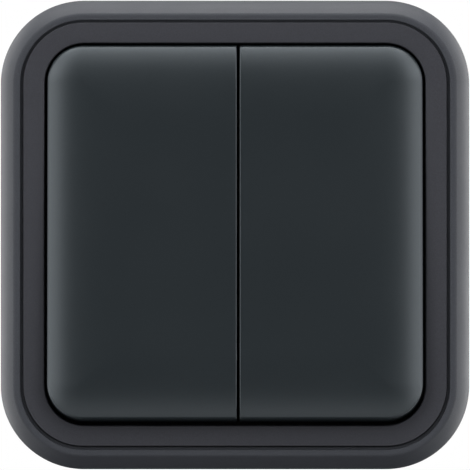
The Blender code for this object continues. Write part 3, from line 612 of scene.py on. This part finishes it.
# Head height, shank radius and pitch
COVER_SCREW = (1.2 * MM, 1.15 * MM, 0.5 * MM)
FIXING_SCREW = (1.7 * MM, 1.5 * MM, 0.6 * MM)
TERMINAL_SCREW = (1.6 * MM, 1.4 * MM, 0.55 * MM)


def make_screws():
    for index in range(1, 5):
        make_screw(f"cover_screw_{index}", *COVER_SCREW)
    for _, label in SIDES:
        make_screw("fixing_screw_" + label, *FIXING_SCREW)
        for place in ("lower", "common", "upper"):
            make_screw(f"terminal_screw_{label}_{place}", *TERMINAL_SCREW, faces_room=False)


PLUNGER_RADIUS = 1.55 * MM
NOSE_CENTRE = -12.85 * MM
# Radius and height, down to the straight part. The first three points lie in the spring
PLUNGER_TOP = ((0.5 * MM, -3.8 * MM), (0.7 * MM, -4.0 * MM), (0.7 * MM, -4.6 * MM),
               (1.4 * MM, -4.6 * MM), (PLUNGER_RADIUS, -4.75 * MM))


def make_plunger(side, label):
    """Moulded pin with a round nose. Heights are from the tilt axis."""
    pivot = -ROCKER_AXIS.y
    nose = [(PLUNGER_RADIUS * cos(radians(a)), NOSE_CENTRE - PLUNGER_RADIUS * sin(radians(a)))
            for a in range(0, 85, 7)]
    profile = [(r, pivot + h) for r, h in (*PLUNGER_TOP, *nose)]
    mesh = mesh_of("plunger", turned(profile, (side * GANG_OFFSET, 0)), ROCKER_TURN)
    finish_piece("contact_plunger_" + label, mesh, PLUNGER, "plunger_plastic",
                 "plunger_" + label, "plunger_" + label)


WIRE_RADIUS = 0.2 * MM
COIL_RADIUS = 1.3 * MM
# How far behind the tilt axis the two ends of the coil lie
COIL_TOP, COIL_BOTTOM = 1.35 * MM, 4.05 * MM
COIL_TURNS, COIL_STEPS, WIRE_SIDES = 5, 30, 10
# The share of the wire in each closed end, and in the open coils between them
COIL_END, COIL_MIDDLE = 0.1, 0.8


def make_spring(side, label):
    """Coil with closed ends, tilted as the rocker rests."""
    pivot = -ROCKER_AXIS.y
    top, bottom = pivot - COIL_TOP, pivot - COIL_BOTTOM
    loops = []
    for step in range(COIL_TURNS * COIL_STEPS + 1):
        angle = 2 * pi * step / COIL_STEPS
        share = step / (COIL_TURNS * COIL_STEPS)
        eased = min(1.0, max(0.0, (share - COIL_END) / COIL_MIDDLE))
        height = top + (bottom - top) * eased
        loop = []
        for corner in range(WIRE_SIDES):
            around = 2 * pi * corner / WIRE_SIDES
            reach = COIL_RADIUS + WIRE_RADIUS * cos(around)
            loop.append((side * GANG_OFFSET + reach * cos(angle),
                         -(height + WIRE_RADIUS * sin(around)), reach * sin(angle)))
        loops.append(loop)
    mesh = mesh_of("spring", loft(loops), ROCKER_TURN)
    piece = finish_piece("coil_spring_" + label, mesh, SPRING, "spring_steel",
                         "rocker_" + label, "plunger_spring_" + label, sharp=60)
    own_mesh(piece)


RIVET_STEPS = 32
RIVET_PLACE = 8.0 * MM
RIVET_RADIUS = 1.8 * MM
RIVET_SHANK = 0.8 * MM
DOME_HEIGHT = 0.8 * MM
CHAMBER_FLOOR = 15.6 * MM
FIXED_SEAT, FIXED_SHOULDER, FIXED_DOME = 1.1 * MM, 1.45 * MM, 0.25 * MM
# Radius and height of the clenched end, on the lever's room side
CLENCH = ((RIVET_SHANK, 1.4 * MM), (1.3 * MM, 1.4 * MM), (1.4 * MM, 1.5 * MM),
          (1.25 * MM, 1.75 * MM), (0.6 * MM, 1.8 * MM))


def make_rivets(side, label):
    """Domed rivets on the lever, and flatter ones on the chamber's floor."""
    x = side * GANG_OFFSET
    fulcrum = -LEVER_AXIS.y
    dome = [(RIVET_RADIUS * sin(radians(a)), DOME_HEIGHT * cos(radians(a)))
            for a in range(6, 91, 7)]
    moving = [(r, -h) for r, h in dome] + [(RIVET_SHANK, 0.0), *CLENCH]
    cap = [(RIVET_RADIUS * sin(radians(a)), FIXED_SHOULDER + FIXED_DOME * cos(radians(a)))
           for a in range(6, 91, 7)]
    fixed = [*cap, (RIVET_RADIUS, FIXED_SEAT), (RIVET_SHANK, FIXED_SEAT), (RIVET_SHANK, 0.0)]
    for z, end in ((-RIVET_PLACE, "lower"), (RIVET_PLACE, "upper")):
        name = f"moving_contact_{label}_{end}"
        shape = turned([(r, fulcrum + h) for r, h in moving], (x, z), RIVET_STEPS)
        mesh = mesh_of("rivet", shape, LEVER_TURN)
        finish_piece(f"moving_rivet_{label}_{end}", mesh, SILVER, "contact_silver",
                     "lever_" + label, name)
        name = f"fixed_contact_{label}_{end}"
        shape = turned([(r, h - CHAMBER_FLOOR) for r, h in fixed], (x, z), RIVET_STEPS)
        mesh = mesh_of("rivet", shape)
        finish_piece(f"fixed_rivet_{label}_{end}", mesh, SILVER, "contact_silver", "base", name)


# ---------------------------------------------------------------- detailed CAD solids

def from_node(node):
    return NODES[node].data.copy()


def softened(mesh, width):
    """Breaks the sharp edges of a carved solid, once its flat faces are whole again."""
    return evaluated(mesh, [("DECIMATE", {"decimate_type": "DISSOLVE",
                                          "angle_limit": FLAT_ANGLE}),
                            ("BEVEL", {"width": width, "segments": BROKEN_SEGMENTS,
                                       "limit_method": "ANGLE",
                                       "angle_limit": BROKEN_ANGLE})])


def round_cuts(places, y, radius, depth, segments):
    """Short cylinders that lie along Y, at (x, z) places in millimetres."""
    bm = bmesh.new()
    for x, z in places:
        spot = Matrix.Translation((x * MM, y, z * MM)) @ Matrix.Rotation(radians(90), 4, "X")
        bmesh.ops.create_cone(bm, cap_ends=True, segments=segments, radius1=radius,
                              radius2=radius, depth=depth, matrix=spot)
    return bm


HOUSING_HALF_X, HOUSING_HALF_Z = 22.0 * MM, 20.0 * MM
# Half width, depth and half length
MIDDLE_CHANNEL = (4.8 * MM, 1.2 * MM, 16.4 * MM)
# From and to, across, depth and half length
SIDE_CHANNEL = (16.4 * MM, 23.0 * MM, 0.9 * MM, 13.0 * MM)
GRIP_OFFSETS = (5.6, 8.0, 10.4, 12.8)
TOWER_OFFSETS = (-2.4, 0.0, 2.4)
GROOVE_DEPTH = 0.4 * MM
GROOVE_START, GROOVE_END = 4.0 * MM, 25.0 * MM
MARK_RADIUS, MARK_DEPTH = 1.2 * MM, 0.3 * MM
MARK_PLACES = tuple((x, z) for x in (-2.6, 2.6) for z in (-12.0, 0.0, 12.0))


def make_housing():
    """Rear moulding: terminal towers, wire funnels, grip ribs and ejector marks."""
    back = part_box("mechanism_base")[1].y
    half_width, deep, half_length = MIDDLE_CHANNEL
    channels = [((-half_width, back - deep, -half_length),
                 (half_width, back + MM, half_length))]
    start, end, shallow, half_length = SIDE_CHANNEL
    for side, _ in SIDES:
        x = sorted((side * start, side * end))
        channels.append(((x[0], back - shallow, -half_length), (x[1], back + MM, half_length)))
    grooves = []
    for offset in GRIP_OFFSETS:
        for up in (-1, 1):
            z = (up * offset - 0.5) * MM
            for side, _ in SIDES:
                x = sorted((side * (HOUSING_HALF_X - GROOVE_DEPTH),
                            side * (HOUSING_HALF_X + MM)))
                grooves.append(((x[0], GROOVE_START, z), (x[1], GROOVE_END, z + MM)))
    for offset in TOWER_OFFSETS:
        for up in (-1, 1):
            z = sorted((up * (HOUSING_HALF_Z - GROOVE_DEPTH), up * (HOUSING_HALF_Z + MM)))
            x = (offset - 0.5) * MM
            grooves.append(((x, GROOVE_START, z[0]), (x + MM, GROOVE_END, z[1])))
    marks = round_cuts(MARK_PLACES, back - deep, MARK_RADIUS, MARK_DEPTH, 32)
    mesh = carved(from_node("mechanism_base"),
                  [("DIFFERENCE", mesh_of("channels", box_mesh(channels))),
                   ("DIFFERENCE", mesh_of("grooves", box_mesh(grooves))),
                   ("DIFFERENCE", mesh_of("funnels", wire_funnels())),
                   ("DIFFERENCE", mesh_of("marks", marks))])
    finish_piece("mechanism_housing", softened(mesh, 0.18 * MM), BODY, "body_plastic", "base",
                 "mechanism_base", flats=True)


ENTRY_DEPTH = 21.7 * MM
FUNNEL_FLARE, FUNNEL_DEPTH, FUNNEL_HALF = 1.0 * MM, 1.3 * MM, 2.4 * MM
FUNNEL_OVERLAP = 0.02 * MM


def wire_funnels():
    """Wedge-shaped mouths that lead a wire into each entry."""
    bm = bmesh.new()
    wide = FUNNEL_HALF + FUNNEL_FLARE

    def mouth(place, turn):
        loops = []
        for reach, run in ((FUNNEL_HALF, -FUNNEL_DEPTH), (wide, FUNNEL_OVERLAP), (wide, MM)):
            square = ((-reach, -reach), (reach, -reach), (reach, reach), (-reach, reach))
            loops.append([place @ turn @ Vector((a, b, run)) for a, b in square])
        piece = loft(loops)
        bmesh.ops.recalc_face_normals(piece, faces=piece.faces)
        holder = bpy.data.meshes.new("mouth")
        piece.to_mesh(holder)
        piece.free()
        bm.from_mesh(holder)
        bpy.data.meshes.remove(holder)

    for side, _ in SIDES:
        mouth(Matrix.Translation((side * HOUSING_HALF_X, ENTRY_DEPTH, 0)),
              Matrix.Rotation(side * radians(90), 4, "Y"))
        for up in (-1, 1):
            mouth(Matrix.Translation((side * GANG_OFFSET, ENTRY_DEPTH, up * HOUSING_HALF_Z)),
                  Matrix.Rotation(0 if up > 0 else pi, 4, "X"))
    return bm


YOKE_HOLES = tuple((x, z) for x in (-28.0, 28.0) for z in (-28.0, 28.0))
YOKE_HOLE_RADIUS = 1.7 * MM
BEAD_NEAR, BEAD_FAR, BEAD_HALF_LENGTH = 26.6 * MM, 28.4 * MM, 10 * MM
BEAD_HEIGHT, BEAD_ROOT = 0.25 * MM, 0.3 * MM


def make_yoke():
    """Pressed sheet with corner holes and stiffening beads."""
    low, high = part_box("support_frame")
    front = -low.y
    holes = round_cuts(YOKE_HOLES, (low.y + high.y) / 2, YOKE_HOLE_RADIUS, 4 * MM, 36)
    beads = []
    for up in (-1, 1):
        z = sorted((up * BEAD_NEAR, up * BEAD_FAR))
        beads.append(((-BEAD_HALF_LENGTH, -front - BEAD_HEIGHT, z[0]),
                      (BEAD_HALF_LENGTH, -front + BEAD_ROOT, z[1])))
    mesh = carved(from_node("support_frame"),
                  [("DIFFERENCE", mesh_of("holes", holes)),
                   ("UNION", mesh_of("beads", box_mesh(beads)))])
    # The yoke's dark colour is partly painted shade for the gaps in front of it.
    finish_piece("pressed_yoke", softened(mesh, 0.12 * MM), YOKE, "yoke_steel", "base",
                 "support_frame", flats=True)


SEAL_GROOVE_DEPTH = 0.35 * MM
SEAL_GROOVES = ((1.6, 1.0), (3.4, 1.0))
# Half width, lowest and highest height, and how far out the two faces lie
# Painted shade: dark sheets over the leg ports stand in for the dark wall box behind, and keep
# the back lights from shining through.
PORT_SHADE_SKIN = (3.5 * MM, 0.05 * MM, 0.3 * MM, 35.35 * MM - 1.5 * MM, 35.35 * MM + 1.5 * MM)


def make_seal():
    """Foot gasket with grooves on its wall side, and thin dark skins over the leg ports as
    painted shade: they keep the ports as dark as the wall box behind would.
    """
    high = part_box("wall_seal")[1]
    mesh = from_node("wall_seal")
    tools = []
    for inset, width in SEAL_GROOVES:
        loops = []
        floor = high.y - SEAL_GROOVE_DEPTH
        for edge, y in ((inset, high.y + MM), (inset, floor),
                        (inset + width, floor), (inset + width, high.y + MM)):
            half = high.x - edge * MM
            radius = PLATE_CORNER - (PLATE_HALF - half)
            path = outline((-half, -half), (half, half), radius, 16)
            loops.append([(x, y, z) for x, z in path])
        tools.append(("DIFFERENCE", mesh_of("seal_groove", loft(loops, closed=True))))
    # The port skins are painted shade that shuts out the back light.
    tools.append(("UNION", mesh_of("port_shade_skins", at_ring_legs(*PORT_SHADE_SKIN))))
    finish_piece("foot_gasket", softened(carved(mesh, tools), 0.1 * MM), RUBBER, "seal_rubber",
                 "base", "wall_seal", flats=True)


def make_internals():
    make_housing()
    make_yoke()
    make_seal()
    make_screws()
    for side, label in SIDES:
        make_plunger(side, label)
        make_spring(side, label)
        make_rivets(side, label)


# ---------------------------------------------------------------- CAD nodes that stay

def dress(node, material, bevel):
    """Keeps a CAD node, with its own material and softly broken edges."""
    item = NODES[node]
    item.data.materials.clear()
    item.data.materials.append(material)
    merge = item.modifiers.new("flat_faces", "DECIMATE")
    merge.decimate_type = "DISSOLVE"
    merge.angle_limit = FLAT_ANGLE
    edge = item.modifiers.new("broken_edges", "BEVEL")
    edge.width = bevel
    edge.segments = BROKEN_SEGMENTS
    edge.limit_method = "ANGLE"
    edge.angle_limit = BROKEN_ANGLE
    edge.harden_normals = True
    item.data.shade_smooth()
    item.data.set_sharp_from_angle(angle=radians(35))


def dress_internals():
    dress("mechanism_cover", COVER, 0.15 * MM)
    dress("mechanism_seal", RUBBER, 0.1 * MM)
    for _, label in SIDES:
        dress("cradle_" + label, CRADLE, 0.12 * MM)
        dress("contact_lever_" + label, COPPER, 0.08 * MM)
        dress("common_strip_" + label, COPPER, 0.06 * MM)
        for end in ("lower", "upper"):
            dress(f"traveller_strip_{label}_{end}", COPPER, 0.06 * MM)
        for place in ("lower", "common", "upper"):
            dress(f"terminal_block_{label}_{place}", BRASS, 0.15 * MM)


# ---------------------------------------------------------------- studio

CAMERA_DISTANCE = 3.0
VIEW_HALF = 43.15 * MM
# The plate is widest to the camera at this height, and just fills this half width
WIDEST_HEIGHT = 3.0 * MM
SENSOR_WIDTH = 36.0
FLOOR_DROP = 0.09
FLOOR_HALF = 0.9
FILL_IN_FRONT = 0.02
FILL_BEHIND = 0.10
FILL_DEPTHS = (-0.1, 0.5)
FILL_HEIGHTS = (-0.4, 0.1)

# Name, metres to each side, metres behind the wall plane, metres up, watts
SIDE_LIGHTS = (("front_light", 0.8, -0.8, 0.1, 2.7), ("side_light", 1.05, -0.4, 0.1, 3.6),
               ("rim_light", 1.1, 0.2, 0.1, 2.9), ("back_light", 0.75, 0.85, 0.1, 8.5),
               ("corner_light", 0.65, -0.75, 0.65, 3.3),
               ("low_corner_light", 0.75, -0.6, -0.6, 1.4),
               ("low_rim_light", 0.95, 0.35, -0.6, 4.0))
SIDE_LIGHT_SIZE = (0.6, 1.1)

# Name, metres behind the wall plane, metres up, watts
MIDDLE_LIGHTS = (("top_front_light", -0.8, 0.8, 1.9), ("top_light", -0.4, 1.05, 8.5),
                 ("top_rim_light", 0.5, 1.0, 12.5), ("low_light", -0.8, -0.8, 0.9),
                 ("low_front_light", -1.0, -0.55, 1.2))
MIDDLE_LIGHT_SIZE = (1.2, 0.6)


def make_camera():
    data = bpy.data.cameras.new("camera")
    camera = bpy.data.objects.new("camera", data)
    bpy.context.scene.collection.objects.link(camera)
    camera.location = (0, -CAMERA_DISTANCE, 0)
    camera.rotation_euler = (radians(90), 0, 0)
    widest = CAMERA_DISTANCE - WIDEST_HEIGHT
    data.sensor_width = SENSOR_WIDTH
    data.lens = SENSOR_WIDTH / 2 * widest / VIEW_HALF
    data.clip_start = 0.05
    data.clip_end = 20
    bpy.context.scene.camera = camera


def area_light(name, place, size, power):
    """A light that shines on the origin and isn't seen by the camera."""
    data = bpy.data.lights.new(name, "AREA")
    data.shape = "RECTANGLE"
    data.size, data.size_y = size
    data.energy = power
    light = bpy.data.objects.new(name, data)
    light.location = place
    light.visible_camera = False
    aim = Vector((0, 0, 0)) - Vector(place)
    light.rotation_euler = aim.to_track_quat("-Z", "Y").to_euler()
    bpy.context.scene.collection.objects.link(light)


def make_world():
    """White to the camera. For lighting it is nearly dark, a little lighter behind and above."""
    world = bpy.data.worlds.new("studio")
    bpy.context.scene.world = world
    world.use_nodes = True
    tree = world.node_tree
    tree.nodes.clear()
    place = tree.nodes.new("ShaderNodeTexCoord")
    split = tree.nodes.new("ShaderNodeSeparateXYZ")
    tree.links.new(place.outputs["Generated"], split.inputs["Vector"])
    depth = tree.nodes.new("ShaderNodeMapRange")
    depth.interpolation_type = "SMOOTHSTEP"
    depth.inputs["From Min"].default_value, depth.inputs["From Max"].default_value = FILL_DEPTHS
    depth.inputs["To Min"].default_value = FILL_IN_FRONT
    depth.inputs["To Max"].default_value = FILL_BEHIND
    tree.links.new(split.outputs["Y"], depth.inputs["Value"])
    rise = tree.nodes.new("ShaderNodeMapRange")
    rise.interpolation_type = "SMOOTHSTEP"
    rise.inputs["From Min"].default_value, rise.inputs["From Max"].default_value = FILL_HEIGHTS
    tree.links.new(split.outputs["Z"], rise.inputs["Value"])
    product = tree.nodes.new("ShaderNodeMath")
    product.operation = "MULTIPLY"
    tree.links.new(depth.outputs["Result"], product.inputs[0])
    tree.links.new(rise.outputs["Result"], product.inputs[1])
    soft = tree.nodes.new("ShaderNodeBackground")
    tree.links.new(product.outputs[0], soft.inputs["Strength"])
    white = tree.nodes.new("ShaderNodeBackground")
    white.inputs["Color"].default_value = (1, 1, 1, 1)
    path = tree.nodes.new("ShaderNodeLightPath")
    mix = tree.nodes.new("ShaderNodeMixShader")
    output = tree.nodes.new("ShaderNodeOutputWorld")
    tree.links.new(path.outputs["Is Camera Ray"], mix.inputs["Fac"])
    tree.links.new(soft.outputs["Background"], mix.inputs[1])
    tree.links.new(white.outputs["Background"], mix.inputs[2])
    tree.links.new(mix.outputs["Shader"], output.inputs["Surface"])


def make_floor():
    """Seen from other angles only: it lies below the picture, and sends back no light."""
    material, _, shader = new_material("floor_paint", (0.86, 0.86, 0.85), 0.7)
    shader.inputs["Specular IOR Level"].default_value = 0.2
    bm = bmesh.new()
    bmesh.ops.create_grid(bm, x_segments=1, y_segments=1, size=FLOOR_HALF)
    mesh = mesh_of("floor", bm)
    mesh.materials.append(material)
    floor = bpy.data.objects.new("floor", mesh)
    floor.location.z = -PLATE_HALF - FLOOR_DROP
    floor.visible_diffuse = False
    floor.visible_glossy = False
    floor.visible_shadow = False
    bpy.context.scene.collection.objects.link(floor)


def make_studio():
    """Lights that differ left and right only in the sign of x, and lights in the middle."""
    bpy.context.scene.view_settings.view_transform = "Standard"
    make_camera()
    make_world()
    make_floor()
    for name, across, depth, height, power in SIDE_LIGHTS:
        for side, label in SIDES:
            area_light(f"{name}_{label}", (side * across, depth, height), SIDE_LIGHT_SIZE, power)
    for name, depth, height, power in MIDDLE_LIGHTS:
        area_light(name, (0, depth, height), MIDDLE_LIGHT_SIZE, power)


make_studio()
make_surround()
make_inner_ring()
for rocker_side, rocker_label in SIDES:
    make_rocker(rocker_side, rocker_label)
make_internals()
dress_internals()
